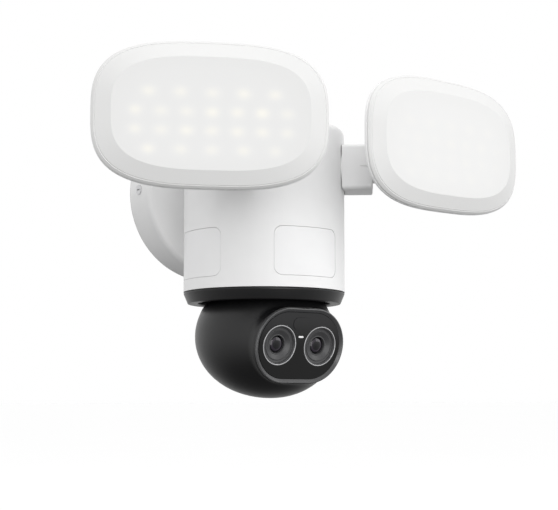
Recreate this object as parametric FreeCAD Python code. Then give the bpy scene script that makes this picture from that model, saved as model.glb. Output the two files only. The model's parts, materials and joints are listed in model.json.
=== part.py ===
"""Floodlight security camera: two LED floodlight heads on arms, and a camera ball that pans and tilts.

Frame: millimetres. The origin is the centre of the wall face, the wall is the plane y = 0, -Y points
out of the wall to the front, +X is the object's own left-to-right as seen from the front, +Z is up.
"""

import FreeCAD, Part
import math
import os

# ---- driving dimensions: fixed parts -------------------------------------------------------
BASE_RADIUS = 57.7          # wall base, covers a round 4-inch junction box
BASE_DEPTH = 27.5           # front face of the wall base, out from the wall
BASE_WALL = 3.0
GASKET_THICKNESS = 1.5
BRACKET_SCREW_SPACING = 88.9   # 3.5 inch between the two box screws
BRACKET_SCREW_RADIUS = 2.4
BODY_RADIUS = 52.0
BODY_WALL = 3.0
BODY_AXIS = -79.1           # y of the vertical body axis, which is also the pan axis
BODY_TOP = 35.2
BODY_FOOT = -71.3
DECK_LEVEL = -32.0          # underside of the plate that carries the pan bearing and motor
WINDOW_MIDDLE = -48.8       # height of the three motion sensor windows
WINDOW_HEIGHT = 30.0
WINDOW_WIDTH = 45.6
WINDOW_CORNER = 5.0
ARM_LEVEL = 8.75            # z of the arm swivel axes
ARM_SWEEP = 37.2            # each arm points this many degrees in front of the object's side
ARM_REACH = 98.2            # from the body axis to the hinge pin
ARM_HALF_HEIGHT = 14.75
ARM_HALF_DEPTH = 14.0
ARM_BOX_END = 70.5          # end of the thick part, from the body axis

# ---- driving dimensions: pan assembly and ball ---------------------------------------------
PAN_REST = 3.5              # degrees that the ball looks towards +X in the stored pose
TILT_REST = 12.0            # degrees that the ball looks down in the stored pose
TILT_LEVEL = -100.3
BALL_FORWARD = 1.7          # tilt axis, in front of the pan axis
BALL_RADIUS = 45.4
BALL_RISE = 46.0            # from the tilt axis up to the top of the full shape
BALL_DROP = 37.8            # from the tilt axis down to the flattened bottom
BALL_RISE_POWER = 1.82      # 2 is an ellipse, higher is boxier
BALL_DROP_POWER = 2.1
BALL_WALL = 2.5
SKIRT_HEIGHT = 6.9
SKIRT_FOOT_RADIUS = 49.2
SKIRT_MOUTH_RADIUS = 42.8
FACE_PLANE = 36.0           # face plate, out from the pan axis
FACE_HALF_WIDTH = 34.0
FACE_END_RADIUS = 23.6
FACE_RAISE = 1.5
LENS_OFFSET = 15.75
LENS_RING_RADIUS = 12.5
TILT_AXIS = BODY_AXIS - BALL_FORWARD
GEAR_MODULE = 0.8
PINION_TEETH = 12
PAN_GEAR_TEETH = 72
TILT_GEAR_TEETH = 36

# ---- driving dimensions: floodlight heads --------------------------------------------------
HEAD_HALF_WIDTH = 67.6
HEAD_HALF_HEIGHT = 42.4
HEAD_POWER = 3.1
HEAD_DEPTH = 24.0
HEAD_WALL = 2.6
HEAD_LEVEL = 20.0           # z of the middle of a head
HEAD_RIM = 3.0              # depth at which the rear shell starts to draw in
HINGE_BACK = 27.0           # hinge pin, behind the head's front plane
HEAD_TURN = {"left": -24.9, "right": 6.0}
SIDES = {"left": -1, "right": 1}
LED_ROWS = (5, 7, 7, 5)
LED_PITCH = {5: 17.9, 7: 14.3}
LED_ROW_PITCH = 10.9
LED_DROP = 3.1
LED_SIZE = 4.4

RUNNING = 0.05              # radial clearance of a shaft in its bore
GAP = 0.3                   # clearance between parts that pass each other


# ---- general shapes ------------------------------------------------------------------------
def vec(x, y, z):
    return FreeCAD.Vector(x, y, z)


def rod(radius, start, end):
    """A solid cylinder between two points."""
    first = vec(*start)
    run = vec(*end) - first
    return Part.makeCylinder(radius, run.Length, first, run)


def pipe(outer, inner, start, end):
    return rod(outer, start, end).cut(rod(inner, start, end))


def block(low, high):
    """A box between its lowest and highest corners."""
    return Part.makeBox(high[0] - low[0], high[1] - low[1], high[2] - low[2], vec(*low))


def join(shapes):
    """One fused solid."""
    shapes = list(shapes)
    return shapes[0].multiFuse(shapes[1:]).removeSplitter() if len(shapes) > 1 else shapes[0]


def without(shape, cutters):
    for cutter in cutters:
        shape = shape.cut(cutter)
    return shape


def polygon_face(points):
    return Part.Face(Part.makePolygon([vec(*p) for p in points] + [vec(*points[0])]))


def turned(outline):
    """Revolves (radius, z) corners about the body axis."""
    face = polygon_face([(r, BODY_AXIS, z) for r, z in outline])
    return face.revolve(vec(0, BODY_AXIS, 0), vec(0, 0, 1), 360)


def along_body(radius, low, high, inner=None):
    """A disc or ring about the body axis."""
    start, end = (0, BODY_AXIS, low), (0, BODY_AXIS, high)
    return pipe(radius, inner, start, end) if inner else rod(radius, start, end)


def spun(shape, degrees, centre, axis=(0, 0, 1)):
    copy = shape.copy()
    copy.rotate(vec(*centre), vec(*axis), degrees)
    return copy


def moved(shape, x, y, z):
    copy = shape.copy()
    copy.translate(vec(x, y, z))
    return copy


def around_body(shape, degrees):
    """Turns a shape about the body axis."""
    return spun(shape, degrees, (0, BODY_AXIS, 0))


def rounded_slab(half_x, half_z, corner, front, back, middle=(0, 0)):
    """A rounded rectangle in x and z, from y = front to y = back."""
    x, z = middle
    slab = block((x - half_x, front, z - half_z), (x + half_x, back, z + half_z))
    upright = [e for e in slab.Edges if abs(e.tangentAt(e.FirstParameter).y) > 0.99]
    return slab.makeFillet(corner, upright)


def stadium(half_width, end_radius, front, back, raise_z=0.0):
    """A slab with round ends in x and z, from y = front to y = back."""
    reach = half_width - end_radius
    ends = [rod(end_radius, (x, front, raise_z), (x, back, raise_z)) for x in (-reach, reach)]
    middle = block((-reach, front, raise_z - end_radius), (reach, back, raise_z + end_radius))
    return join(ends + [middle])


def gear(teeth, thickness, bore, fullness=0.80):
    """A spur gear about Z with straight-sided teeth, one tooth pointing to +X, from z = 0 up."""
    pitch_radius = GEAR_MODULE * teeth / 2
    root, tip = pitch_radius - 1.2 * GEAR_MODULE, pitch_radius + 0.85 * GEAR_MODULE
    rims = ((root, 1.35), (pitch_radius, 1.0), (tip, 0.5))
    half_tooth = math.pi / (2 * teeth) * fullness
    points = []
    for number in range(teeth):
        middle = 2 * math.pi * number / teeth
        flank = [(radius, width * half_tooth) for radius, width in rims]
        for radius, offset in flank:
            points.append((radius * math.cos(middle - offset), radius * math.sin(middle - offset), 0))
        for radius, offset in reversed(flank):
            points.append((radius * math.cos(middle + offset), radius * math.sin(middle + offset), 0))
    blank = polygon_face(points).extrude(vec(0, 0, thickness))
    return blank.cut(rod(bore, (0, 0, -1), (0, 0, thickness + 1)))


def screw(head_radius, head_height, shank_radius, shank_length):
    """A pan-head screw pointing to +Y, the underside of its head at the origin, with a cross recess."""
    head = rod(head_radius, (0, -head_height, 0), (0, 0, 0))
    shank = rod(shank_radius, (0, 0, 0), (0, shank_length, 0))
    reach, slot = 0.62 * head_radius, 0.16 * head_radius
    cross = [
        block((-reach, -head_height, -slot), (reach, -0.45 * head_height, slot)),
        block((-slot, -head_height, -reach), (slot, -0.45 * head_height, reach)),
    ]
    return without(join([head, shank]), cross)


def write(node, shapes):
    """Writes one node. Touching or separate solids stay separate solids in the same file."""
    shapes = shapes if isinstance(shapes, list) else [shapes]
    solids = [solid for shape in shapes for solid in shape.Solids]
    whole = solids[0] if len(solids) == 1 else Part.makeCompound(solids)
    if not whole.isValid():
        print("not valid:", node)
    whole.exportStep(f"parts/{node}.step")


# ---- wall base -----------------------------------------------------------------------------
POST_ANGLE = 62.0
POST_CIRCLE = 47.8
BRACKET_BACK = -1.5
SIDE_SCREW_RADIUS = 3.4     # locking screws at the two sides of the base
SIDE_SCREW_PLACE = -14.0


def post_places():
    angles = [math.radians(a) for a in (POST_ANGLE, 180 - POST_ANGLE)]
    return [(POST_CIRCLE * math.cos(a), POST_CIRCLE * math.sin(a)) for a in angles]


def make_wall_base():
    inner_face = -(BASE_DEPTH - BASE_WALL)
    bracket = rod(52.0, (0, BRACKET_BACK, 0), (0, BRACKET_BACK - 2, 0))
    posts = [rod(3.6, (x, BRACKET_BACK - 2, z), (x, inner_face, z)) for x, z in post_places()]
    threads = [rod(1.6, (x, -12, z), (x, inner_face - 1, z)) for x, z in post_places()]
    half = BRACKET_SCREW_SPACING / 2
    box_screws = [rod(BRACKET_SCREW_RADIUS, (x, 0, 0), (x, -6, 0)) for x in (-half, half)]
    wall_pad = rod(8, (0, 0, 0), (0, BRACKET_BACK - 1, 0))
    cable_hole = rod(13, (0, 0, 24), (0, -6, 24))
    write("wall_bracket", without(join([bracket, wall_pad] + posts), threads + box_screws + [cable_hole]))
    write("base_gasket", pipe(BASE_RADIUS - 0.5, 52.5, (0, 0, 0), (0, BRACKET_BACK, 0)))

    drum = rod(BASE_RADIUS, (0, BRACKET_BACK, 0), (0, -BASE_DEPTH, 0))
    front_edge = [e for e in drum.Edges if e.BoundBox.YMax < -BASE_DEPTH + 1]
    drum = drum.makeFillet(3.5, front_edge)
    hollow = rod(BASE_RADIUS - BASE_WALL, (0, 0, 0), (0, inner_face, 0))
    holes = [rod(1.8, (x, 0, z), (x, -40, z)) for x, z in post_places()]
    holes += [rod(SIDE_SCREW_RADIUS, (side * (BASE_RADIUS - 1.2), SIDE_SCREW_PLACE, 0),
                  (side * (BASE_RADIUS + 5), SIDE_SCREW_PLACE, 0)) for side in SIDES.values()]
    write("wall_base", without(drum, [hollow, rod(14, (0, 0, 0), (0, -40, 0))] + holes))
    fixing = screw(3.1, 2.0, 1.55, BASE_WALL + 8)
    fixings = [moved(fixing, x, -BASE_DEPTH, z) for x, z in post_places()]
    for side in SIDES.values():
        head = rod(SIDE_SCREW_RADIUS, (side * (BASE_RADIUS - 1.2), SIDE_SCREW_PLACE, 0),
                   (side * (BASE_RADIUS + 0.4), SIDE_SCREW_PLACE, 0))
        slot = block((-99, SIDE_SCREW_PLACE - 2.0, -0.45), (99, SIDE_SCREW_PLACE + 2.0, 0.45))
        slot = slot.cut(block((-BASE_RADIUS + 0.4, -99, -9), (BASE_RADIUS - 0.4, 99, 9)))
        fixings.append(head.cut(slot))
    write("base_screws", fixings)

    connector = block((-18, -16, -38), (18, -5, -22))
    wire_holes = [rod(2.6, (x, -10.5, -39), (x, -10.5, -28)) for x in (-11, 0, 11)]
    screw_holes = [rod(1.8, (x, -17, -26), (x, -12, -26)) for x in (-11, 0, 11)]
    fixing_hole = rod(2, (0, -20, -35), (0, 0, -35))
    write("terminal_block", without(connector, wire_holes + screw_holes + [fixing_hole]))


# ---- main housing --------------------------------------------------------------------------
TOP_ROUNDING = 5.0
CAP_RADIUS = 43.2
SPEAKER_ANGLE = 125.0       # from the front, towards +X
SPEAKER_LEVEL = -15.0
ARM_SPIGOT = 10.0           # bore radius of the arm sockets
SEAM_TURN = 145.0           # keeps the seam line of the round walls clear of every opening


def beside_body(shape, side):
    """Turns a shape made along the body's own side into line with the arm of that side."""
    return around_body(shape, -side * ARM_SWEEP)


def arm_rod(radius, low, high, side, inner=None):
    """A rod or pipe on the arm's swivel axis, between two distances from the body axis."""
    start, end = (side * low, BODY_AXIS, ARM_LEVEL), (side * high, BODY_AXIS, ARM_LEVEL)
    return beside_body(pipe(radius, inner, start, end) if inner else rod(radius, start, end), side)


def window_slab(grow):
    """The outline of a motion sensor window, pushed out through the front of the body wall."""
    outer = BODY_AXIS - BODY_RADIUS - 5
    half_x, half_z = WINDOW_WIDTH / 2 + grow, WINDOW_HEIGHT / 2 + grow
    return rounded_slab(half_x, half_z, WINDOW_CORNER, outer, BODY_AXIS - 30, (0, WINDOW_MIDDLE))


def make_housing():
    inner = BODY_RADIUS - BODY_WALL
    tube = along_body(BODY_RADIUS, BODY_FOOT + GAP, BODY_TOP)
    top_edge = [e for e in tube.Edges if e.BoundBox.ZMin > BODY_TOP - 1]
    tube = around_body(tube.makeFillet(TOP_ROUNDING, top_edge), SEAM_TURN)
    neck = block((-28, BODY_AXIS + 30, -52), (28, -BASE_DEPTH, 27))
    neck = neck.makeFillet(8, [e for e in neck.Edges if abs(e.tangentAt(e.FirstParameter).y) > 0.99])
    collars = [arm_rod(14.0, 30, BODY_RADIUS + 0.6, side) for side in SIDES.values()]
    solid = join([tube, neck] + collars).common(block((-90, -200, -90), (90, -BASE_DEPTH, 90)))
    cavity = around_body(along_body(inner, BODY_FOOT - 5, BODY_TOP - 4.5), SEAM_TURN)
    ledge = along_body(inner, DECK_LEVEL - 2.4, DECK_LEVEL - 0.1, inner - 2.4)
    cap_seat = [along_body(CAP_RADIUS + 0.15, BODY_TOP - 2.5, BODY_TOP + 1),
                along_body(40, BODY_TOP - 6, BODY_TOP)]
    arm_bores = [arm_rod(ARM_SPIGOT, 30, 60, side) for side in SIDES.values()]
    seal_grooves = [arm_rod(ARM_SPIGOT + 1.2, 48.6, 50.2, side) for side in SIDES.values()]
    neck_hole = rod(14, (0, BODY_AXIS + 35, 0), (0, 0, 0))
    windows = [around_body(window_slab(0.2), turn) for turn in (0, -90, 90)]
    speaker_holes = []
    for column in range(-2, 3):
        for row in range(-2, 3):
            if abs(column) + abs(row) <= 3:
                place = (4 * column, BODY_AXIS, SPEAKER_LEVEL + 4 * row)
                hole = rod(0.9, (place[0], BODY_AXIS - 40, place[2]), (place[0], BODY_AXIS - 60, place[2]))
                speaker_holes.append(around_body(hole, SPEAKER_ANGLE))
    shell = without(solid, [cavity])
    shell = shell.fuse(ledge)
    shell = without(shell, cap_seat + arm_bores + seal_grooves + [neck_hole] + windows + speaker_holes)
    write("main_housing", shell)
    write("top_cap", along_body(CAP_RADIUS, BODY_TOP - 2.5, BODY_TOP - 0.2))
    skin = along_body(BODY_RADIUS - 0.1, -70, -20, BODY_RADIUS - 2.7)
    write("pir_windows", [around_body(window_slab(0), turn).common(skin) for turn in (0, -90, 90)])
    seals = [arm_rod(ARM_SPIGOT + 1.1, 48.65, 50.15, side, ARM_SPIGOT + 0.02) for side in SIDES.values()]
    write("arm_seals", seals)


def make_electronics():
    deck = along_body(BODY_RADIUS - BODY_WALL - 0.2, DECK_LEVEL, DECK_LEVEL + 3, 17)
    shaft_hole = rod(5.5, (0, motor_y(), DECK_LEVEL - 1), (0, motor_y(), DECK_LEVEL + 4))
    write("deck_plate", deck.cut(shaft_hole))
    bearing = along_body(17, DECK_LEVEL - 2, DECK_LEVEL + 3, 14)
    flange = along_body(20, DECK_LEVEL + 3, DECK_LEVEL + 4, 14)
    write("pan_bearing", join([bearing, flange]))

    sensors = []
    for turn in (0, -90, 90):
        board = block((-8, BODY_AXIS - 37.2, DECK_LEVEL - 13), (8, BODY_AXIS - 36, DECK_LEVEL))
        can = rod(4.5, (0, BODY_AXIS - 41.2, DECK_LEVEL - 7), (0, BODY_AXIS - 37.2, DECK_LEVEL - 7))
        sensors += [around_body(join([board, can]), turn)]
    write("pir_sensors", sensors)

    main_level, power_level = -8.8, 2.0
    post_circle = []
    for angle in (30, 150, 270):
        turn = math.radians(angle)
        post_circle.append((32 * math.cos(turn), BODY_AXIS + 32 * math.sin(turn)))
    spacers = [rod(2.5, (x, y, DECK_LEVEL + 3), (x, y, main_level)) for x, y in post_circle]
    spacers += [rod(2.5, (x, y, main_level + 1.6), (x, y, power_level)) for x, y in post_circle]
    write("board_spacers", spacers)
    board = along_body(38, main_level, main_level + 1.6, 9)
    chips = [
        block((-24, BODY_AXIS - 14, main_level + 1.6), (-10, BODY_AXIS, main_level + 3.2)),
        block((12, BODY_AXIS - 12, main_level + 1.6), (22, BODY_AXIS - 2, main_level + 3.0)),
        block((-8, BODY_AXIS + 14, main_level + 1.6), (8, BODY_AXIS + 24, main_level + 5.0)),
        block((-6, BODY_AXIS - 26, main_level + 1.6), (6, BODY_AXIS - 16, main_level + 2.8)),
    ]
    write("main_board", join([board] + chips))
    board = along_body(38, power_level, power_level + 1.6)
    parts = [
        block((-14, BODY_AXIS - 12, power_level + 1.6), (14, BODY_AXIS + 12, power_level + 19)),
        rod(6, (-24, BODY_AXIS, power_level + 1.6), (-24, BODY_AXIS, power_level + 20)),
        rod(6, (24, BODY_AXIS, power_level + 1.6), (24, BODY_AXIS, power_level + 20)),
        block((-10, BODY_AXIS - 30, power_level + 1.6), (10, BODY_AXIS - 18, power_level + 12)),
        block((-12, BODY_AXIS + 18, power_level + 1.6), (12, BODY_AXIS + 28, power_level + 10)),
    ]
    write("power_board", join([board] + parts))
    speaker = rod(13, (0, BODY_AXIS - 46.4, SPEAKER_LEVEL), (0, BODY_AXIS - 42, SPEAKER_LEVEL))
    magnet = rod(8, (0, BODY_AXIS - 42, SPEAKER_LEVEL), (0, BODY_AXIS - 39.5, SPEAKER_LEVEL))
    write("speaker", around_body(join([speaker, magnet]), SPEAKER_ANGLE))
    antenna = block((-4, BODY_AXIS - 45.6, 0), (4, BODY_AXIS - 44.6, 28))
    write("wifi_antennas", [around_body(antenna, turn) for turn in (-28, 28)])


# ---- pan drive -----------------------------------------------------------------------------
CUP_TOP = -49.8
CUP_INNER = 44.5
CUP_OUTER = 47.0
HUB_RADIUS = 14.0 - RUNNING


def motor_y():
    return BODY_AXIS + GEAR_MODULE * (PAN_GEAR_TEETH + PINION_TEETH) / 2


def posed_pan(shape):
    return around_body(shape, PAN_REST)


def make_pan():
    motor = rod(11.5, (0, motor_y(), DECK_LEVEL + 3), (0, motor_y(), DECK_LEVEL + 20))
    nose = rod(5, (0, motor_y(), DECK_LEVEL - 4), (0, motor_y(), DECK_LEVEL + 3))
    shaft = rod(1.5, (0, motor_y(), CUP_TOP + 1.5), (0, motor_y(), DECK_LEVEL - 4))
    write("pan_motor", join([motor, nose, shaft]))
    pinion = gear(PINION_TEETH, 5, 1.5 + RUNNING)
    half_tooth = 180.0 / PINION_TEETH
    pinion = spun(pinion, -90 + half_tooth, (0, 0, 0))
    write("pan_pinion", moved(pinion, 0, motor_y(), CUP_TOP + 1.5))

    gear_low = CUP_TOP + 0.5
    pan_gear = gear(PAN_GEAR_TEETH, 6, 18)
    write("pan_gear", moved(spun(pan_gear, 90, (0, 0, 0)), 0, BODY_AXIS, gear_low))
    table = turned([
        (10, gear_low), (CUP_OUTER, gear_low), (CUP_OUTER, BODY_FOOT - 5), (CUP_INNER, BODY_FOOT - 5),
        (CUP_INNER, CUP_TOP - 3), (10, CUP_TOP - 3),
    ])
    hub = along_body(HUB_RADIUS, gear_low, DECK_LEVEL + 6, 10)
    write("pan_turntable", posed_pan(join([table, hub])))
    write("pan_retainer", along_body(18, DECK_LEVEL + 4.1, DECK_LEVEL + 5.6, HUB_RADIUS))
    foot = BODY_FOOT - SKIRT_HEIGHT - GAP
    write("pan_skirt", turned([
        (CUP_OUTER, BODY_FOOT - GAP), (BODY_RADIUS, BODY_FOOT - GAP), (SKIRT_FOOT_RADIUS, foot),
        (SKIRT_MOUTH_RADIUS, foot), (SKIRT_MOUTH_RADIUS, BODY_FOOT - 5), (CUP_OUTER, BODY_FOOT - 5),
    ]))


# ---- tilt fork -----------------------------------------------------------------------------
FORK_INNER = 26.0
FORK_OUTER = 29.5
PIN_RADIUS = 3.0


def tilt_motor_level():
    return TILT_LEVEL + GEAR_MODULE * (TILT_GEAR_TEETH + PINION_TEETH) / 2


def make_fork():
    top = CUP_TOP - 3
    arms = []
    for side in (-1, 1):
        inner, outer = sorted((side * FORK_INNER, side * FORK_OUTER))
        plate = block((inner, TILT_AXIS - 4, TILT_LEVEL), (outer, TILT_AXIS + 6, top))
        eye = rod(7, (inner, TILT_AXIS, TILT_LEVEL), (outer, TILT_AXIS, TILT_LEVEL))
        arms.append(join([plate, eye]))
    bridge = block((-FORK_OUTER, TILT_AXIS - 4, top - 2.5), (FORK_OUTER, TILT_AXIS + 6, top))
    level = tilt_motor_level()
    bores = [rod(PIN_RADIUS, (-40, TILT_AXIS, TILT_LEVEL), (40, TILT_AXIS, TILT_LEVEL)),
             rod(3.2, (20, TILT_AXIS, level), (40, TILT_AXIS, level))]
    write("tilt_fork", posed_pan(without(join(arms + [bridge]), bores)))
    pins = [rod(PIN_RADIUS, (side * FORK_INNER, TILT_AXIS, TILT_LEVEL), (side * 37, TILT_AXIS, TILT_LEVEL))
            for side in (-1, 1)]
    write("tilt_pins", [posed_pan(pin) for pin in pins])
    can = rod(8.6, (4, TILT_AXIS, level), (FORK_INNER, TILT_AXIS, level))
    boss = rod(3.0, (FORK_INNER, TILT_AXIS, level), (30.2, TILT_AXIS, level))
    shaft = rod(1.5, (30.2, TILT_AXIS, level), (34, TILT_AXIS, level))
    write("tilt_motor", posed_pan(join([can, boss, shaft])))
    pinion = spun(gear(PINION_TEETH, 3, 1.5 + RUNNING), 180.0 / PINION_TEETH, (0, 0, 0))
    pinion = spun(pinion, 90, (0, 0, 0), (0, 1, 0))
    write("tilt_pinion", posed_pan(moved(pinion, 30.6, TILT_AXIS, level)))


# ---- camera ball ---------------------------------------------------------------------------
def posed_ball(shape):
    """Puts a shape made in the ball's own frame, its centre at the origin, into the stored pose."""
    tilted = spun(shape, TILT_REST, (0, 0, 0), (1, 0, 0))
    return posed_pan(moved(tilted, 0, TILT_AXIS, TILT_LEVEL))


def ball_solid(inset):
    """The ball without its face: round above the tilt axis and flattened below it."""
    steps = 12
    radius = BALL_RADIUS - inset
    halves = []
    for height, power in ((BALL_RISE - inset, BALL_RISE_POWER), (-(BALL_DROP - inset), BALL_DROP_POWER)):
        points = []
        for step in range(steps + 1):
            angle = 0.5 * math.pi * step / steps
            across = radius * math.cos(angle) ** (2 / power) if step < steps else 0.0
            points.append(vec(across, 0, height * math.sin(angle) ** (2 / power)))
        curve = Part.BSplineCurve()
        curve.interpolate(points)
        halves.append(curve.toShape())
    spine = Part.makeLine(vec(0, 0, -(BALL_DROP - inset)), vec(0, 0, BALL_RISE - inset))
    face = Part.Face(Part.Wire(Part.__sortEdges__(halves + [spine])))
    return face.revolve(vec(0, 0, 0), vec(0, 0, 1), 360)


def fork_opening():
    """The gap at the top of the ball that the fork reaches through over the whole tilt travel."""
    ring = pipe(60, 24.5, (-50, 0, 0), (50, 0, 0))
    first, last = math.radians(82), math.radians(152)
    reach = 90
    wedge = polygon_face([
        (-50, 0, 0), (-50, -reach * math.cos(first), reach * math.sin(first)), (-50, 0, 1.6 * reach),
        (-50, -reach * math.cos(last), reach * math.sin(last)),
    ]).extrude(vec(100, 0, 0))
    return ring.common(wedge)


def make_ball():
    outer, inner = ball_solid(0), ball_solid(BALL_WALL)
    pod = stadium(FACE_HALF_WIDTH, FACE_END_RADIUS, -FACE_PLANE, -8, FACE_RAISE)
    pod_inner = stadium(FACE_HALF_WIDTH - 2.5, FACE_END_RADIUS - 2.5, -FACE_PLANE - 2, -8, FACE_RAISE)
    in_front = stadium(FACE_HALF_WIDTH, FACE_END_RADIUS, -60, -FACE_PLANE, FACE_RAISE)
    opening = fork_opening()
    shell = without(join([outer, pod]), [in_front, inner, pod_inner, opening])
    bosses = [rod(7, (side * 30, 0, 0), (side * 44, 0, 0)).common(ball_solid(1)) for side in (-1, 1)]
    bores = [rod(PIN_RADIUS + RUNNING, (side * 29, 0, 0), (side * 38, 0, 0)) for side in (-1, 1)]
    back_plane = 30.0
    behind = block((-60, back_plane, -60), (60, 60, 60))
    gear_seat = pipe(8, 7, (30, 0, 0), (30.4, 0, 0))
    front = without(join([shell.cut(behind)] + bosses), bores + [gear_seat])
    write("ball_front_shell", posed_ball(front))

    service = rounded_slab(13.0, 8.0, 3.0, 20, 60)
    cover = without(outer, [inner, opening]).common(behind)
    lid = cover.common(rounded_slab(12.8, 7.8, 2.8, 20, 60))
    seat = 43.8
    lid_screws = [moved(spun(screw(1.8, 1.0, 0.9, 4.0), 180, (0, 0, 0)), x, seat, 0) for x in (-10, 10)]
    lid_holes = [rod(1.9, (x, seat, 0), (x, 60, 0)) for x in (-10, 10)]
    lid_holes += [rod(0.92, (x, 38, 0), (x, 50, 0)) for x in (-10, 10)]
    rim = rounded_slab(14.5, 9.5, 4.0, 38, 43.3).cut(rounded_slab(11.3, 6.3, 2.0, 37, 44))
    rim = rim.cut(join([rod(0.92, (x, 30, 0), (x, 50, 0)) for x in (-10, 10)]))
    write("ball_rear_cover", [posed_ball(without(cover, [service]))])
    write("card_cover", posed_ball(without(lid, lid_holes)))
    write("cover_screws", [posed_ball(item) for item in lid_screws])
    write("card_cover_gasket", posed_ball(rim.common(ball_solid(BALL_WALL))))
    board = block((-11, 32.0, -6), (11, 33.2, 6))
    holder = without(block((-9, 33.2, -2), (3, 37.4, 2)), [block((-8, 33, -0.6), (2, 40, 0.6))])
    write("service_board", posed_ball(join([board, holder])))
    write("memory_card", posed_ball(block((-7.9, 33.25, -0.5), (1.9, 38.6, 0.5))))
    write("reset_button", posed_ball(rod(1.6, (6.5, 34.2, 0), (6.5, 38.4, 0))))


def make_face():
    end, half, lift = FACE_END_RADIUS, FACE_HALF_WIDTH, FACE_RAISE
    bezel_front = -FACE_PLANE - 1.4
    ring = stadium(half, end, bezel_front, -FACE_PLANE, lift)
    front_edges = [e for e in ring.Edges if e.BoundBox.YMax < bezel_front + 0.01]
    ring = ring.makeChamfer(1.2, front_edges)
    write("face_bezel", posed_ball(ring.cut(stadium(half - 2.7, end - 2.7, -60, 0, lift))))

    glass_front = -FACE_PLANE - 0.2
    glass = stadium(half - 2.8, end - 2.8, glass_front, glass_front + 1.8, lift)
    centres = [(side * LENS_OFFSET, lift) for side in (-1, 1)]
    holes = [rod(LENS_RING_RADIUS + 0.05, (x, -60, z), (x, -30, z)) for x, z in centres]
    sensor_z, light_z = lift + 13.7, lift + 5.6
    sensor = rounded_slab(7.0, 4.0, 3.9, glass_front - 0.3, glass_front + 1.8, (0, sensor_z))
    sensor_hole = rounded_slab(7.05, 4.05, 3.95, -60, -30, (0, sensor_z))
    light = rounded_slab(1.9, 0.55, 0.5, glass_front - 0.1, glass_front + 1.8, (0, light_z))
    light_hole = rounded_slab(1.95, 0.6, 0.55, -60, -30, (0, light_z))
    write("face_glass", posed_ball(without(glass, holes + [sensor_hole, light_hole])))
    write("light_sensor_window", posed_ball(sensor))
    write("status_light", posed_ball(light))

    rings, barrels, lenses = [], [], []
    for x, z in centres:
        rings.append(pipe(LENS_RING_RADIUS, 11.6, (x, glass_front - 0.3, z), (x, glass_front + 1.8, z)))
        outer = rod(11.55, (x, glass_front + 0.4, z), (x, -20, z))
        tail = rod(8, (x, -20, z), (x, -12, z))
        cone = Part.makeCone(11.0, 6.0, 6.4, vec(x, glass_front + 0.39, z), vec(0, 1, 0))
        well = rod(6.0, (x, -31, z), (x, -13.5, z))
        barrels.append(without(join([outer, tail]), [cone, well]))
        dome = Part.makeSphere(8.5, vec(x, -23.6, z)).common(rod(5.9, (x, -34, z), (x, -26, z)))
        lenses.append(dome)
    write("lens_rings", [posed_ball(item) for item in rings])
    write("lens_barrels", [posed_ball(item) for item in barrels])
    write("lens_glasses", [posed_ball(item) for item in lenses])
    board = block((-25, -12, lift - 12), (25, -10.4, lift + 10.5))
    chips = [block((x - 6, -10.4, lift - 6), (x + 6, -9.2, lift + 5)) for x, z in centres]
    write("camera_board", posed_ball(join([board] + chips)))

    ring_gear = spun(gear(TILT_GEAR_TEETH, 3, 7.0), 180, (0, 0, 0))
    ring_gear = moved(spun(ring_gear, 90, (0, 0, 0), (0, 1, 0)), 30.6, 0, 0)
    upright = spun(ring_gear, -TILT_REST, (0, 0, 0), (1, 0, 0))
    write("tilt_gear", posed_ball(upright))


# ---- floodlight arms and heads -------------------------------------------------------------
KNUCKLE_RADIUS = 8.0
KNUCKLE_HALF = 11.0
LUG_REACH = 15.5
HINGE_LEVEL = ARM_LEVEL + 3.0
PIVOT_RADIUS = 2.5
LED_LAYER = 4.0             # board face, behind the head's front plane


def make_arm(name, side):
    """A box-section arm on the swivel axis, then a narrower tongue that ends in the hinge knuckle."""
    start, half, tall = BODY_RADIUS + 0.9, ARM_HALF_DEPTH, ARM_HALF_HEIGHT
    box = block((start, -half, -tall), (ARM_BOX_END, half, tall))
    long_edges = [e for e in box.Edges if e.BoundBox.XMax - e.BoundBox.XMin > 1]
    box = box.makeFillet(2.5, long_edges)
    lift = HINGE_LEVEL - ARM_LEVEL
    low, high = lift - KNUCKLE_HALF, lift + KNUCKLE_HALF
    tongue = block((ARM_BOX_END - 4, -7.5, low), (ARM_REACH, 7.5, high))
    knuckle = rod(KNUCKLE_RADIUS, (ARM_REACH, 0, low), (ARM_REACH, 0, high))
    spigot = rod(ARM_SPIGOT - RUNNING, (44, 0, 0), (start + 1, 0, 0))
    mark = block((ARM_BOX_END - 8.2, -half - 1, -0.4), (ARM_BOX_END + 1, -half + 0.8, 0.4))
    channel = [rod(6, (43, 0, 0), (ARM_BOX_END - 4, 0, 0)),
               rod(4, (ARM_BOX_END - 5, 0, lift), (ARM_REACH, 0, lift)),
               rod(PIVOT_RADIUS + RUNNING, (ARM_REACH, 0, -40), (ARM_REACH, 0, 40))]
    arm = without(join([box, tongue, knuckle, spigot]), channel + [mark])
    if side < 0:
        arm = arm.mirror(vec(0, 0, 0), vec(1, 0, 0))
    write(f"arm_{name}", beside_body(moved(arm, 0, BODY_AXIS, ARM_LEVEL), side))


def outline_wire(half_width, half_height, y):
    """A closed superellipse in the plane at depth y, from its formula."""
    points = []
    count = 48
    for step in range(count):
        angle = 2 * math.pi * (step + 0.5) / count
        cosine, sine = math.cos(angle), math.sin(angle)
        x = half_width * math.copysign(abs(cosine) ** (2 / HEAD_POWER), cosine)
        z = half_height * math.copysign(abs(sine) ** (2 / HEAD_POWER), sine)
        points.append(vec(x, y, z))
    curve = Part.BSplineCurve()
    curve.interpolate(points, PeriodicFlag=True)
    return Part.Wire(curve.toShape())


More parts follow.
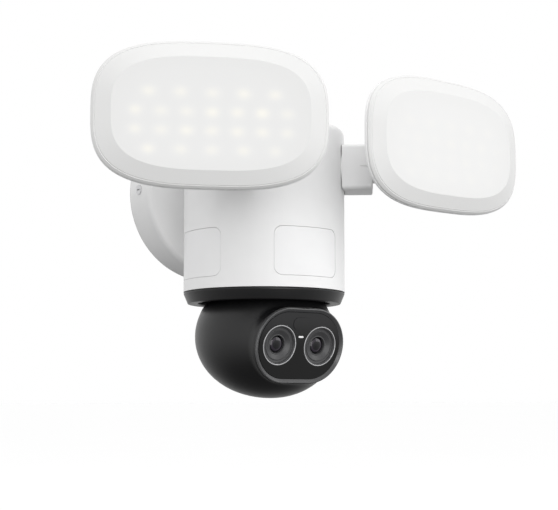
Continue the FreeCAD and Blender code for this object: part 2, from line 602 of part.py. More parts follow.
def layered(layers):
    """A solid through (inset, depth) layers of the head's outline."""
    wires = [outline_wire(HEAD_HALF_WIDTH - inset, HEAD_HALF_HEIGHT - 0.9 * inset, y) for inset, y in layers]
    return Part.makeLoft(wires, True, True)


def head_skin(inset):
    """The outside of the rear shell: a short straight rim, then a taper that rounds off to a flat back."""
    layers = [(inset, 1.2), (inset, HEAD_RIM)]
    for draw, share in ((3.6, 0.17), (8.0, 0.36), (13.0, 0.57), (18.0, 0.77), (23.0, 0.93), (28.0, 1.0)):
        layers.append((inset + draw, HEAD_RIM + (HEAD_DEPTH - HEAD_RIM - inset) * share))
    return layered(layers)


def posed_head(shape, name, side):
    """Turns a head about its hinge pin into the stored pose. Its own origin is the front plane's middle."""
    sweep = math.radians(ARM_SWEEP)
    hinge = (side * ARM_REACH * math.cos(sweep), BODY_AXIS - ARM_REACH * math.sin(sweep))
    placed = moved(shape, hinge[0], hinge[1] - HINGE_BACK, HEAD_LEVEL)
    return spun(placed, HEAD_TURN[name], (hinge[0], hinge[1], 0))


def make_head(name, side):
    hinge_z = HINGE_LEVEL - HEAD_LEVEL
    pocket_half = KNUCKLE_HALF + GAP
    floor = HINGE_BACK - KNUCKLE_RADIUS - 1.2
    shell = head_skin(0).cut(layered([(HEAD_WALL, 1.0), (HEAD_WALL, 1.9)]))
    shell = shell.cut(head_skin(HEAD_WALL))
    hinge_block = block((-15, floor - 2.5, hinge_z - LUG_REACH), (15, HEAD_DEPTH, hinge_z + LUG_REACH))
    lugs = []
    for low, high in ((-LUG_REACH, -pocket_half), (pocket_half, LUG_REACH)):
        low, high = hinge_z + low, hinge_z + high
        lugs.append(rod(7.5, (0, HINGE_BACK, low), (0, HINGE_BACK, high)))
        lugs.append(block((-7.5, HEAD_DEPTH - 4, low), (7.5, HINGE_BACK, high)))
    pocket = block((-12.5, floor, hinge_z - pocket_half), (12.5, HEAD_DEPTH + 1, hinge_z + pocket_half))
    bore = rod(PIVOT_RADIUS, (0, HINGE_BACK, hinge_z - 20), (0, HINGE_BACK, hinge_z + 20))
    cable_hole = rod(3, (0, 0, hinge_z), (0, HINGE_BACK, hinge_z))
    shell = without(join([shell, hinge_block] + lugs), [pocket, bore, cable_hole])
    pin = rod(PIVOT_RADIUS, (0, HINGE_BACK, hinge_z - LUG_REACH), (0, HINGE_BACK, hinge_z + LUG_REACH))

    seal = layered([(0.8, 1.2), (0.8, 1.9)]).cut(layered([(3.4, 1.1), (3.4, 2.0)]))
    shell = shell.cut(layered([(0.8, 1.0), (0.8, 1.9)]))
    front = layered([(0.2, 1.2), (0.2, 0.4), (0.6, -0.6), (2.0, -1.6), (10.5, -4.2), (10.9, -4.4)])
    inside = layered([(3.4, 1.3), (3.4, 0.6), (4.0, 0.2), (10.6, -2.0), (10.8, -2.2)])
    board = layered([(9.0, LED_LAYER), (9.0, LED_LAYER + 1.6)])
    sink = layered([(13.0, LED_LAYER + 1.6), (13.0, LED_LAYER + 4.0)])
    fins = [block((-40, LED_LAYER + 4.0, z - 0.8), (40, LED_LAYER + 8.0, z + 0.8)) for z in range(-20, 21, 5)]
    leds = []
    half = LED_SIZE / 2
    for row, count in enumerate(LED_ROWS):
        z = (1.5 - row) * LED_ROW_PITCH - LED_DROP
        for place in range(count):
            x = (place - (count - 1) / 2) * LED_PITCH[count]
            leds.append(block((x - half, LED_LAYER - 1.0, z - half), (x + half, LED_LAYER, z + half)))
    pieces = {
        "head_shell": shell, "head_hinge_pin": pin, "head_gasket": seal, "diffuser": front.cut(inside),
        "led_board": board, "heat_sink": join([sink] + fins),
    }
    for piece, shape in pieces.items():
        write(f"{piece}_{name}", posed_head(shape, name, side))
    write(f"leds_{name}", [posed_head(led, name, side) for led in leds])


def main():
    os.makedirs("parts", exist_ok=True)
    make_wall_base()
    make_housing()
    make_electronics()
    make_pan()
    make_fork()
    make_ball()
    make_face()
    for name, side in SIDES.items():
        make_arm(name, side)
        make_head(name, side)


main()
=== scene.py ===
"""Looks of a floodlight security camera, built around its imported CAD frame.

Every length is in metres, in the frame's own axes: the wall is the plane y = 0, -Y is the front, +Z is up.
"""

from __future__ import annotations

import json
import logging
import math
from collections.abc import Callable, Iterable, Mapping, Sequence
from dataclasses import dataclass, field
from enum import Enum
from typing import Any

import bmesh
import bpy
from mathutils import Matrix, Vector

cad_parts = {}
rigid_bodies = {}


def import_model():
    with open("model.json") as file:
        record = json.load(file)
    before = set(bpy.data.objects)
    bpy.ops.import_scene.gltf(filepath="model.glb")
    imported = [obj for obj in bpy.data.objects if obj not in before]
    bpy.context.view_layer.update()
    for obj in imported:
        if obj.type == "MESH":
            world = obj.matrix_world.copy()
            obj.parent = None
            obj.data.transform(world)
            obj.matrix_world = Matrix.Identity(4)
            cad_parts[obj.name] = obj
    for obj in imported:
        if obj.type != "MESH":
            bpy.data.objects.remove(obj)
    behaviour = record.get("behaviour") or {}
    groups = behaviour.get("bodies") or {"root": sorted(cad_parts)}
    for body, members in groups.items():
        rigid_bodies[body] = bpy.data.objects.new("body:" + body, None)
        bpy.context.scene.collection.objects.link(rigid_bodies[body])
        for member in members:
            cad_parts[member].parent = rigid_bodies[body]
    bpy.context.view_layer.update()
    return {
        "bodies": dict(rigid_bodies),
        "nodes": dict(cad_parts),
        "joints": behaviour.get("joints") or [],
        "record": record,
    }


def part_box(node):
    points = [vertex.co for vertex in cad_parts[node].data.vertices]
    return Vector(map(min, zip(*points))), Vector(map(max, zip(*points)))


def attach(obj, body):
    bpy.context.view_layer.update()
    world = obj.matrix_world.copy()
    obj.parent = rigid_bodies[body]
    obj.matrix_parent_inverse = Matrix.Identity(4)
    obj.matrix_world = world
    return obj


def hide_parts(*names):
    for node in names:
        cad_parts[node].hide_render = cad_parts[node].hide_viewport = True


LOG = logging.getLogger("floodlight_camera")
MM = 0.001
SHARP_ANGLE = 32.0          # degrees between faces above which an edge is drawn sharp
UPRIGHT = Vector((0, 0, 1))
Colour = tuple[float, float, float]
Point = tuple[float, float]
Point3 = tuple[float, float, float]
Piece = bpy.types.Object
Material = bpy.types.Material


class Side(Enum):
    """The two floodlight heads, with the sign of their x."""

    LEFT = -1
    RIGHT = 1

    @property
    def label(self) -> str:
        """The side's name in node and body names."""
        return self.name.lower()


class Direction(Enum):
    """Which way a plane profile is pushed."""

    UP = "z"
    BACK = "y"
    ACROSS = "x"


# ---- shader maths ----
class Signal:
    """A number in a shader, carried by a socket. Operators add Math nodes."""

    def __init__(self, graph: Nodes, socket: bpy.types.NodeSocket) -> None:
        """Args:
            graph: the node tree.
            socket: the output that carries the number.
        """
        self.graph = graph
        self.socket = socket

    def math(self, operation: str, *others: Signal | float) -> Signal:
        """Adds a Math node on this value.

        Args:
            operation: the Math node's operation.
            others: the further operands.

        Returns:
            The result.
        """
        values = dict(enumerate((self, *others)))
        made = self.graph.node("ShaderNodeMath", {"operation": operation}, values)
        return Signal(self.graph, made.outputs[0])

    def __add__(self, other: Signal | float) -> Signal:
        """Sum."""
        return self.math("ADD", other)

    __radd__ = __add__

    def __mul__(self, other: Signal | float) -> Signal:
        """Product."""
        return self.math("MULTIPLY", other)

    __rmul__ = __mul__

    def __sub__(self, other: Signal | float) -> Signal:
        """Difference."""
        return self.math("SUBTRACT", other)

    def __rsub__(self, other: float) -> Signal:
        """Difference from a number."""
        return (self * -1.0) + other

    def __truediv__(self, other: Signal | float) -> Signal:
        """Quotient."""
        return self.math("DIVIDE", other)

    def __pow__(self, power: float) -> Signal:
        """Power."""
        return self.math("POWER", power)

    def size(self) -> Signal:
        """Absolute value."""
        return self.math("ABSOLUTE")

    def ramp(self, low: float, high: float) -> Signal:
        """Rises smoothly from 0 at low to 1 at high."""
        values = {"Value": self, "From Min": low, "From Max": high}
        made = self.graph.node("ShaderNodeMapRange", {"interpolation_type": "SMOOTHSTEP"}, values)
        return Signal(self.graph, made.outputs["Result"])


class Nodes:
    """An emptied node tree, with the one way of adding nodes to it."""

    def __init__(self, owner: Material | bpy.types.World) -> None:
        """Args:
            owner: the material or world that the tree belongs to.
        """
        owner.use_nodes = True
        self.tree = owner.node_tree
        self.tree.nodes.clear()

    def node(self, kind: str, settings: Mapping[str, Any], values: Mapping[str | int, Any]) -> bpy.types.Node:
        """Adds a node.

        Args:
            kind: the node's type.
            settings: its settings, set before its sockets.
            values: numbers, colours, sockets or signals for its input sockets.

        Returns:
            The node.
        """
        made = self.tree.nodes.new(kind)
        for key, value in settings.items():
            setattr(made, key, value)
        for key, value in values.items():
            self.feed(made.inputs[key], value)
        return made

    def feed(self, socket: bpy.types.NodeSocket, value: Any) -> None:
        """Links or sets one input socket."""
        if isinstance(value, Signal):
            value = value.socket
        if isinstance(value, bpy.types.NodeSocket):
            self.tree.links.new(value, socket)
        elif socket.type == "RGBA" and len(value) == 3:
            socket.default_value = (*value, 1.0)
        else:
            socket.default_value = value


class Graph(Nodes):
    """The node graph of one material, ending in a Principled shader."""

    def __init__(self, name: str) -> None:
        """Args:
            name: the material's name.
        """
        self.material = bpy.data.materials.new(name)
        super().__init__(self.material)
        self.shader = self.node("ShaderNodeBsdfPrincipled", {}, {})
        self.node("ShaderNodeOutputMaterial", {}, {"Surface": self.shader.outputs[0]})
        self.place = self.node("ShaderNodeTexCoord", {}, {}).outputs["Object"]

    def surface(self, **values: Any) -> None:
        """Sets sockets of the Principled shader, named with underscores for spaces."""
        for key, value in values.items():
            self.feed(self.shader.inputs[key.replace("_", " ")], value)

    def noise(self, scale: float, detail: float = 2.0, roughness: float = 0.5) -> Signal:
        """Cloudy noise from 0 to 1, with scale features per metre."""
        values = {"Vector": self.place, "Scale": scale, "Detail": detail, "Roughness": roughness}
        return Signal(self, self.node("ShaderNodeTexNoise", {}, values).outputs["Fac"])

    def axes(self) -> tuple[Signal, Signal, Signal]:
        """The object's own x, y and z in metres."""
        split = self.node("ShaderNodeSeparateXYZ", {}, {"Vector": self.place})
        return tuple(Signal(self, socket) for socket in split.outputs)

    def blend(self, share: Signal, first: Any, second: Any) -> bpy.types.NodeSocket:
        """Mixes two colours: first where share is 0, second where it is 1."""
        mix = self.node("ShaderNodeMix", {"data_type": "RGBA"}, {})
        sockets = {"Factor_Float": share, "A_Color": first, "B_Color": second}
        for socket in mix.inputs:
            if socket.identifier in sockets:
                self.feed(socket, sockets[socket.identifier])
        return next(out for out in mix.outputs if out.identifier == "Result_Color")

    def bump(self, height: Signal, depth: float) -> bpy.types.NodeSocket:
        """A normal from a height from 0 to 1, with depth in metres."""
        values = {"Height": height, "Distance": depth, "Strength": 1.0}
        return self.node("ShaderNodeBump", {}, values).outputs["Normal"]


def shade(colour: Colour, factor: float) -> Colour:
    """A colour made lighter or darker by a factor."""
    return tuple(min(1.0, channel * factor) for channel in colour)


# ---- finishes ----
@dataclass(frozen=True)
class Moulding:
    """Moulded plastic with a fine spark-eroded grain and slight unevenness of colour and gloss."""

    name: str
    colour: Colour
    roughness: float
    grain: float = 0.00002
    grain_scale: float = 2600.0
    mottle: float = 0.03
    specular: float = 0.5
    coat: float = 0.0

    def build(self) -> Material:
        """Returns: the material."""
        graph = Graph(self.name)
        cloud = graph.noise(38.0, 3.0)
        grain = graph.noise(self.grain_scale, 3.0, 0.6)
        colour = graph.blend(cloud.ramp(0.3, 0.7), shade(self.colour, 1 - self.mottle), self.colour)
        gloss = (cloud - 0.5) * 0.10 + (grain - 0.5) * 0.08 + self.roughness
        graph.surface(Base_Color=colour, Roughness=gloss, Normal=graph.bump(grain, self.grain))
        graph.surface(Specular_IOR_Level=self.specular, Coat_Weight=self.coat, Coat_Roughness=0.08)
        return graph.material


@dataclass(frozen=True)
class Gloss:
    """Polished dark plastic or glass whose depth fades from a lighter top to a black foot, a painted
    reflection.
    """

    name: str
    top: Colour
    foot: Colour
    low: float
    high: float
    roughness: float = 0.06
    specular: float = 0.35

    def build(self) -> Material:
        """Returns: the material."""
        graph = Graph(self.name)
        height = graph.axes()[2]
        smear = graph.noise(60.0, 2.0)
        # painted reflection: the base colour goes from the black foot to the lighter top with height
        rise = (height + (smear - 0.5) * 0.002).ramp(self.low, self.high)
        graph.surface(Base_Color=graph.blend(rise, self.foot, self.top))
        graph.surface(Roughness=smear * 0.05 + self.roughness)
        graph.surface(Specular_IOR_Level=self.specular, IOR=1.5)
        return graph.material


@dataclass(frozen=True)
class Metal:
    """Bare or plated metal with fine turning or drawing lines."""

    name: str
    colour: Colour
    roughness: float
    lines: float = 9000.0
    depth: float = 0.000008

    def build(self) -> Material:
        """Returns: the material."""
        graph = Graph(self.name)
        stretch = {"Vector": graph.place, "Scale": (0.05, 0.05, 1.0)}
        streak = graph.node("ShaderNodeMapping", {}, stretch).outputs[0]
        values = {"Vector": streak, "Scale": self.lines, "Detail": 2.0}
        lines = Signal(graph, graph.node("ShaderNodeTexNoise", {}, values).outputs["Fac"])
        cloud = graph.noise(120.0, 2.0)
        graph.surface(Base_Color=graph.blend(cloud, shade(self.colour, 0.85), self.colour), Metallic=1.0)
        graph.surface(Roughness=(lines - 0.5) * 0.2 + self.roughness, Normal=graph.bump(lines, self.depth))
        return graph.material


@dataclass(frozen=True)
class Rubber:
    """Silicone rubber with a dusty, uneven bloom."""

    name: str
    colour: Colour

    def build(self) -> Material:
        """Returns: the material."""
        graph = Graph(self.name)
        bloom = graph.noise(400.0, 4.0)
        graph.surface(Base_Color=graph.blend(bloom, self.colour, shade(self.colour, 1.35)))
        graph.surface(Roughness=bloom * 0.2 + 0.6, Normal=graph.bump(bloom, 0.00002))
        return graph.material


@dataclass(frozen=True)
class Board:
    """Solder mask over a printed circuit, with tracks and pads as faint relief."""

    name: str
    colour: Colour

    def build(self) -> Material:
        """Returns: the material."""
        graph = Graph(self.name)
        settings = {"feature": "DISTANCE_TO_EDGE"}
        cells = graph.node("ShaderNodeTexVoronoi", settings, {"Vector": graph.place, "Scale": 260.0})
        track = Signal(graph, cells.outputs["Distance"]).ramp(0.05, 0.09)
        graph.surface(Base_Color=graph.blend(track, shade(self.colour, 1.6), self.colour), Roughness=0.35)
        graph.surface(Normal=graph.bump(track, 0.00003))
        return graph.material


@dataclass(frozen=True)
class OpalFront:
    """Opal polycarbonate lit from behind by rows of warm LEDs that show as soft spots."""

    name: str
    rows: Sequence[int]
    pitches: Mapping[int, float]
    row_pitch: float
    drop: float
    window: tuple[float, float]
    glow: float
    spot: float
    spot_radius: tuple[float, float] = (5.3 * MM, 4.0 * MM)
    body: Colour = (0.70, 0.70, 0.695)
    warm: Colour = (1.0, 0.86, 0.46)
    pale: Colour = (1.0, 0.985, 0.95)

    def spots(self, graph: Graph, across: Signal, up: Signal) -> Signal:
        """The brightness of the LED spots, about 1 at the middle of each.

        Args:
            graph: the material's graph; not used.
            across: the front's own x in metres.
            up: its own z in metres.

        Returns:
            The sum of all the rows.
        """
        total: Signal | None = None
        for row, count in enumerate(self.rows):
            pitch = self.pitches[count]
            level = ((len(self.rows) - 1) / 2 - row) * self.row_pitch - self.drop
            phase = 0.5 if count % 2 else 0.0
            cell = (across / pitch + phase).math("FRACT") - 0.5
            within = 1.0 - across.size().ramp(pitch * (count / 2 - 0.1), pitch * (count / 2 + 0.1))
            side = cell * (pitch / self.spot_radius[0])
            rise = (up - level) / self.spot_radius[1]
            distance = side * side + rise * rise
            spot = (distance * -1.0).math("EXPONENT") * within
            total = spot if total is None else total + spot
        return total

    def build(self) -> Material:
        """Returns: the material."""
        graph = Graph(self.name)
        across, _, up = graph.axes()
        uneven = graph.noise(55.0, 1.0)
        spots = self.spots(graph, across, up) * (uneven * 0.9 + 0.55)
        squareness = 3.0
        reach = (across.size() / self.window[0]) ** squareness
        reach = reach + (up.size() / self.window[1]) ** squareness
        pool = 1.0 - reach.ramp(0.10, 1.15)
        grain = graph.noise(3000.0, 2.0)
        warmth = (spots * 0.75 + pool * 0.25).ramp(0.0, 1.0)
        light = graph.blend(warmth, self.pale, self.warm)
        strength = pool * self.glow + spots * self.spot
        glow = graph.blend(strength.ramp(0.0, 1.0), (0.0, 0.0, 0.0), light)
        graph.surface(Base_Color=graph.blend(pool, self.body, shade(self.body, 1.02)))
        graph.surface(Emission_Color=glow, Emission_Strength=1.0)
        graph.surface(Roughness=grain * 0.08 + 0.33, Normal=graph.bump(grain, 0.000006))
        graph.surface(Specular_IOR_Level=0.35)
        return graph.material


@dataclass(frozen=True)
class CoatedLens:
    """Dark coated optical glass with painted coloured rings of reflection deep in its middle."""

    name: str
    centres: Sequence[Point]
    radius: float

    def build(self) -> Material:
        """Returns: the material."""
        graph = Graph(self.name)
        across, _, up = graph.axes()
        centre_x = self.centres[1][0]
        aside = across.size() - centre_x
        rise = up - self.centres[1][1]
        distance = (aside * aside + rise * rise) ** 0.5
        iris = 1.0 - distance.ramp(self.radius * 0.28, self.radius * 0.36)
        # painted reflection: a lighter purple ring in the base colour, between the black iris and the rim
        band = distance.ramp(self.radius * 0.5, self.radius * 0.62)
        band = band - distance.ramp(self.radius * 0.74, self.radius * 0.86)
        ground = graph.blend(band, (0.004, 0.004, 0.006), (0.030, 0.024, 0.034))
        graph.surface(Base_Color=graph.blend(iris, ground, (0.0, 0.0, 0.001)))
        graph.surface(Roughness=distance * 2.0 + 0.03, Specular_IOR_Level=0.3, IOR=1.5)
        graph.surface(Coat_Weight=0.25, Coat_Roughness=0.02, Coat_IOR=1.5)
        return graph.material


# ---- meshes ----
def halve(low: float, high: float, below: Callable[[float], bool]) -> float:
    """Finds by halving the value between low and high at which a test turns from true to false."""
    for _ in range(40):
        middle = (low + high) / 2
        low, high = (middle, high) if below(middle) else (low, middle)
    return low


def oblong(half_width: float, low: float, high: float) -> list[Point]:
    """The corners of an upright rectangle about the middle line."""
    return [(half_width, low), (half_width, high), (-half_width, high), (-half_width, low)]


def soften(corners: Sequence[tuple[float, float, float]], steps: int = 5) -> list[Point]:
    """Rounds the corners of an open outline.

    Args:
        corners: points as (a, b, radius); the radius is 0 where the corner stays sharp.
        steps: points on each rounding.

    Returns:
        The outline's points.
    """
    line: list[Point] = [corners[0][:2]]
    for before, here, after in zip(corners, corners[1:], corners[2:]):
        corner = Vector(here[:2])
        back, on = Vector(before[:2]) - corner, Vector(after[:2]) - corner
        turn = back.angle(on)
        reach = min(here[2] / math.tan(turn / 2), back.length * 0.49, on.length * 0.49) if turn < 3.1 else 0.0
        if reach <= 0:
            line.append(here[:2])
            continue
        start, end = corner + back.normalized() * reach, corner + on.normalized() * reach
        for step in range(steps + 1):
            share = step / steps
            bent = start.lerp(corner, share).lerp(corner.lerp(end, share), share)
            line.append((bent.x, bent.y))
    line.append(corners[-1][:2])
    return line


def finish_mesh(name: str, work: bmesh.types.BMesh, sharp: float = SHARP_ANGLE) -> Piece:
    """Turns a bmesh into a smooth-shaded object with sharp edges where its faces turn sharply.

    Args:
        name: the object's name.
        work: the mesh, which is freed.
        sharp: the angle in degrees above which an edge is sharp.

    Returns:
        The object.
    """
    bmesh.ops.remove_doubles(work, verts=work.verts, dist=1e-7)
    bmesh.ops.recalc_face_normals(work, faces=work.faces)
    mesh = bpy.data.meshes.new(name)
    work.to_mesh(mesh)
    work.free()
    mesh.shade_smooth()
    mesh.set_sharp_from_angle(angle=math.radians(sharp))
    piece = bpy.data.objects.new(name, mesh)
    bpy.context.scene.collection.objects.link(piece)
    return piece


def skin(name: str, rings: Sequence[Sequence[Vector]], closed: bool = False,
         sharp: float = SHARP_ANGLE) -> Piece:
    """Lays faces between closed rings of points.

    Args:
        name: the object's name.
        rings: rings with the same number of points each.
        closed: whether the last ring joins the first; otherwise both ends are capped.
        sharp: the sharp edge angle in degrees.

    Returns:
        The object.
    """
    work = bmesh.new()
    rows = [[work.verts.new(point) for point in ring] for ring in rings]
    pairs = list(zip(rows, rows[1:])) + ([(rows[-1], rows[0])] if closed else [])
    for first, second in pairs:
        for index in range(len(first)):
            after = (index + 1) % len(first)
            work.faces.new((first[index], first[after], second[after], second[index]))
    if not closed:
        for row in (rows[0], rows[-1]):
            work.faces.new(row)
    return finish_mesh(name, work, sharp)


def turned(name: str, profile: Sequence[Point], base: Vector, around: Vector,
           segments: int = 160) -> Piece:
    """Turns a closed (radius, height) profile about an axis.

    Args:
        name: the object's name.
        profile: the closed profile.
        base: a point on the axis, at height 0.
        around: the axis.
        segments: faces round the turn.

    Returns:
        The object.
    """
    lean = UPRIGHT.rotation_difference(around.normalized()).to_matrix()
    angles = [2 * math.pi * index / segments for index in range(segments)]
    rings = []
    for radius, height in profile:
        points = (Vector((radius * math.cos(a), radius * math.sin(a), height)) for a in angles)
        rings.append([base + lean @ point for point in points])
    return skin(name, rings, closed=True)


def stadium(half_width: float, end_radius: float, level: float, depth: float,
            arc: int = 40, run: int = 10) -> list[Vector]:
    """A ring of points round a slot shape in x and z, at y = depth, starting at the +X end's foot."""
    reach = half_width - end_radius
    points = []
    for sign in (1, -1):
        for step in range(arc):
            angle = math.pi * (step / arc - 0.5)
            x = reach + end_radius * math.cos(angle)
            points.append((sign * x, sign * end_radius * math.sin(angle)))
        for step in range(run):
            points.append((sign * reach * (1 - 2 * step / run), sign * end_radius))
    return [Vector((x, depth, z + level)) for x, z in points]


def solid_from(outline: Sequence[Point], low: float, high: float, way: Direction) -> bmesh.types.BMesh:
    """Pushes a closed plane outline from low to high along an axis."""
    order: dict[Direction, Callable[[float, float, float], Vector]] = {
        Direction.UP: lambda a, b, c: Vector((a, b, c)),
        Direction.BACK: lambda a, b, c: Vector((a, c, b)),
        Direction.ACROSS: lambda a, b, c: Vector((c, a, b)),
    }
    work = bmesh.new()
    rows = [[work.verts.new(order[way](a, b, level)) for a, b in outline] for level in (low, high)]
    for index in range(len(outline)):
        after = (index + 1) % len(outline)
        work.faces.new((rows[0][index], rows[0][after], rows[1][after], rows[1][index]))
    for row in rows:
        work.faces.new(row)
    return work


def apply_all(piece: Piece) -> None:
    """Applies a piece's modifiers to its mesh."""
    graph = bpy.context.evaluated_depsgraph_get()
    mesh = bpy.data.meshes.new_from_object(piece.evaluated_get(graph))
    piece.modifiers.clear()
    piece.data = mesh


def rounded(piece: Piece, width: float, limit: float = 30.0) -> Piece:
    """Rounds the sharp edges of a piece."""
    bevel = piece.modifiers.new("edge_rounding", "BEVEL")
    bevel.width = width
    bevel.segments = 3
    bevel.limit_method = "ANGLE"
    bevel.angle_limit = math.radians(limit)
    apply_all(piece)
    piece.data.shade_smooth()
    piece.data.set_sharp_from_angle(angle=math.radians(38))
    return piece


def carve(piece: Piece, cutters: Iterable[Piece],
          union: bool = False) -> Piece:
    """Cuts other closed pieces out of a piece, or adds them to it, and removes them."""
    for cutter in cutters:
        tool = piece.modifiers.new("carving", "BOOLEAN")
        tool.operation = "UNION" if union else "DIFFERENCE"
        tool.solver = "EXACT"
        tool.object = cutter
        apply_all(piece)
        bpy.data.objects.remove(cutter)
    piece.data.shade_smooth()
    piece.data.set_sharp_from_angle(angle=math.radians(SHARP_ANGLE))
    return piece


def put(piece: Piece, finish: Material, body: str, node: str) -> None:
    """Gives a piece its material, its body and the CAD node that it stands for."""
    piece.data.materials.clear()
    piece.data.materials.append(finish)
    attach(piece, body)
    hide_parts(node)
    LOG.info("%s: %d faces", piece.name, len(piece.data.polygons))


# ---- floodlight heads ----
@dataclass
class FloodlightHead:
    """One floodlight head: rear shell, opal front and hinge, made about its front plane's middle."""

    side: Side
    hinge: Vector
    turn: float
    half_width: float = 67.6 * MM
    half_height: float = 42.4 * MM
    power: float = 3.1
    level: float = 20.0 * MM
    hinge_back: float = 27.0 * MM
    depth: float = 24.0 * MM
    rim: float = 3.0 * MM
    around: int = 160
    knuckle_half: float = 11.3 * MM
    lug_reach: float = 15.5 * MM
    lug_radius: float = 7.5 * MM

    @property
    def label(self) -> str:
        """The side's name."""
        return self.side.label

    def ring(self, inset: float, depth: float) -> list[Vector]:
        """The head's outline, drawn in by inset, at a depth behind the front plane."""
        points = []
        for index in range(self.around):
            angle = 2 * math.pi * (index + 0.5) / self.around
            cosine, sine = math.cos(angle), math.sin(angle)
            x = (self.half_width - inset) * math.copysign(abs(cosine) ** (2 / self.power), cosine)
            z = (self.half_height - 0.9 * inset) * math.copysign(abs(sine) ** (2 / self.power), sine)
            points.append(Vector((x, depth, z)))
        return points

    def place(self, piece: Piece) -> Piece:
        """Moves a piece from the head's own frame to its place on the hinge."""
        pin = Matrix.Translation((self.hinge.x, self.hinge.y, self.level))
        back = Matrix.Translation((0, -self.hinge_back, 0))
        piece.matrix_world = pin @ Matrix.Rotation(math.radians(self.turn), 4, "Z") @ back
        return piece

    def shell_profile(self) -> list[Point]:
        """The rear shell's outside as (inset, depth): the rim's lip and side, then the taper to the back."""
        rim = self.rim
        run = self.depth - rim
        return soften([
            (3.0 * MM, 1.35 * MM, 0.0), (0.55 * MM, 1.35 * MM, 0.15 * MM), (0.0, 1.7 * MM, 0.3 * MM),
            (0.0, rim, 0.9 * MM), (8.0 * MM, rim + 0.36 * run, 6.0 * MM),
            (18.0 * MM, rim + 0.77 * run, 5.0 * MM), (24.5 * MM, self.depth, 7.0 * MM),
            (30.0 * MM, self.depth, 0.0),
        ], 6)

    def build_shell(self) -> Piece:
        """Returns: the hollow rear shell with its rim, cut out for the hinge block."""
        outside = self.shell_profile()
        inside = [(3.0, 2.0), (4.4, 3.2), (10.5, 8.6), (20.5, 17.0), (26.0, 21.4), (39.0, 21.4)]
        rings = [self.ring(inset * MM, depth * MM) for inset, depth in reversed(inside)]
        rings += [self.ring(*section) for section in outside]
        rings += [self.ring(inset * MM, self.depth) for inset in (34, 39)]
        shell = skin(f"floodlight_rear_shell_{self.label}", rings)
        return carve(shell, [self.hinge_block("hinge_cutter", 0.0)])

    def hinge_block(self, name: str, shrink: float) -> Piece:
        """The block in the middle of the back that the hinge pocket is sunk into."""
        middle = self.hinge_middle()
        half_x, half_z = 15.0 * MM - shrink, self.lug_reach - shrink
        outline = oblong(half_x, middle - half_z, middle + half_z)
        front, back = self.hinge_back - 11.7 * MM, self.depth + (0.5 * MM if not shrink else 0.0)
        return finish_mesh(name, solid_from(outline, front, back, Direction.BACK))

    def hinge_middle(self) -> float:
        """The height of the hinge's middle in the head's own frame."""
        return self.hinge.z - self.level

    def build_hinge(self) -> Piece:
        """Returns: the hinge mount, with its pocket and its two lugs round the pin."""
        middle = self.hinge_middle()
        mount = self.hinge_block(f"floodlight_hinge_mount_{self.label}", 0.05 * MM)
        lugs = []
        for sign in (-1, 1):
            low, high = sorted((middle + sign * self.knuckle_half, middle + sign * self.lug_reach))
            turn_steps = 24
            outline = [(self.lug_radius, self.depth - 1.0 * MM)]
            for step in range(turn_steps + 1):
                angle = math.pi * step / turn_steps
                outline.append((self.lug_radius * math.cos(angle),
                                self.hinge_back + self.lug_radius * math.sin(angle)))
            outline.append((-self.lug_radius, self.depth - 1.0 * MM))
            lugs.append(finish_mesh("lug", solid_from(outline, low, high, Direction.UP)))
        carve(mount, lugs, union=True)
        half_x, reach = 12.5 * MM, self.depth + 1.0 * MM
        pocket = oblong(half_x, middle - self.knuckle_half, middle + self.knuckle_half)
        floor = self.hinge_back - 9.2 * MM
        carve(mount, [finish_mesh("pocket", solid_from(pocket, floor, reach, Direction.BACK))])
        return rounded(mount, 0.5 * MM)

    def build_front(self) -> Piece:
        """Returns: the opal front, its edge bead, sloping band and flat window."""
        section = soften([
            (3.2 * MM, 1.15 * MM, 0.0), (0.25 * MM, 1.15 * MM, 0.1 * MM), (0.2 * MM, 0.2 * MM, 0.9 * MM),
            (1.75 * MM, -1.35 * MM, 0.6 * MM), (2.1 * MM, -1.15 * MM, 0.12 * MM),
            (2.5 * MM, -1.6 * MM, 0.15 * MM),
            (10.2 * MM, -4.05 * MM, 1.2 * MM), (11.2 * MM, -4.4 * MM, 0.8 * MM), (12.6 * MM, -4.4 * MM, 0.0),
        ], 6)
        flat = [(inset * MM, -4.4 * MM) for inset in (17, 24, 32, 39)]
        inner = [(inset * MM, -2.4 * MM) for inset in (39, 28, 13)] + [(4.2 * MM, 0.3 * MM)]
        rings = [self.ring(*point) for point in section + flat + inner]
        work = bmesh.new()
        rows = [[work.verts.new(point) for point in ring] for ring in rings]
        caps = (len(section + flat) - 1, len(section + flat))
        for index, (first, second) in enumerate(zip(rows, rows[1:] + rows[:1])):
            if index == caps[0]:
                continue
            for spot in range(self.around):
                after = (spot + 1) % self.around
                work.faces.new((first[spot], first[after], second[after], second[spot]))
        for cap in caps:
            work.faces.new(rows[cap])
        return finish_mesh(f"floodlight_front_{self.label}", work, sharp=40.0)

    def build(self, finishes: Finishes) -> None:
        """Builds and places the head's pieces."""
        body = f"head_{self.label}"
        shell, hinge, front = self.build_shell(), self.build_hinge(), self.build_front()
        put(self.place(shell), finishes.white, body, f"head_shell_{self.label}")
        put(self.place(hinge), finishes.white, body, f"head_shell_{self.label}")
        opal = finishes.opal[self.side]
        put(self.place(front), opal, body, f"diffuser_{self.label}")


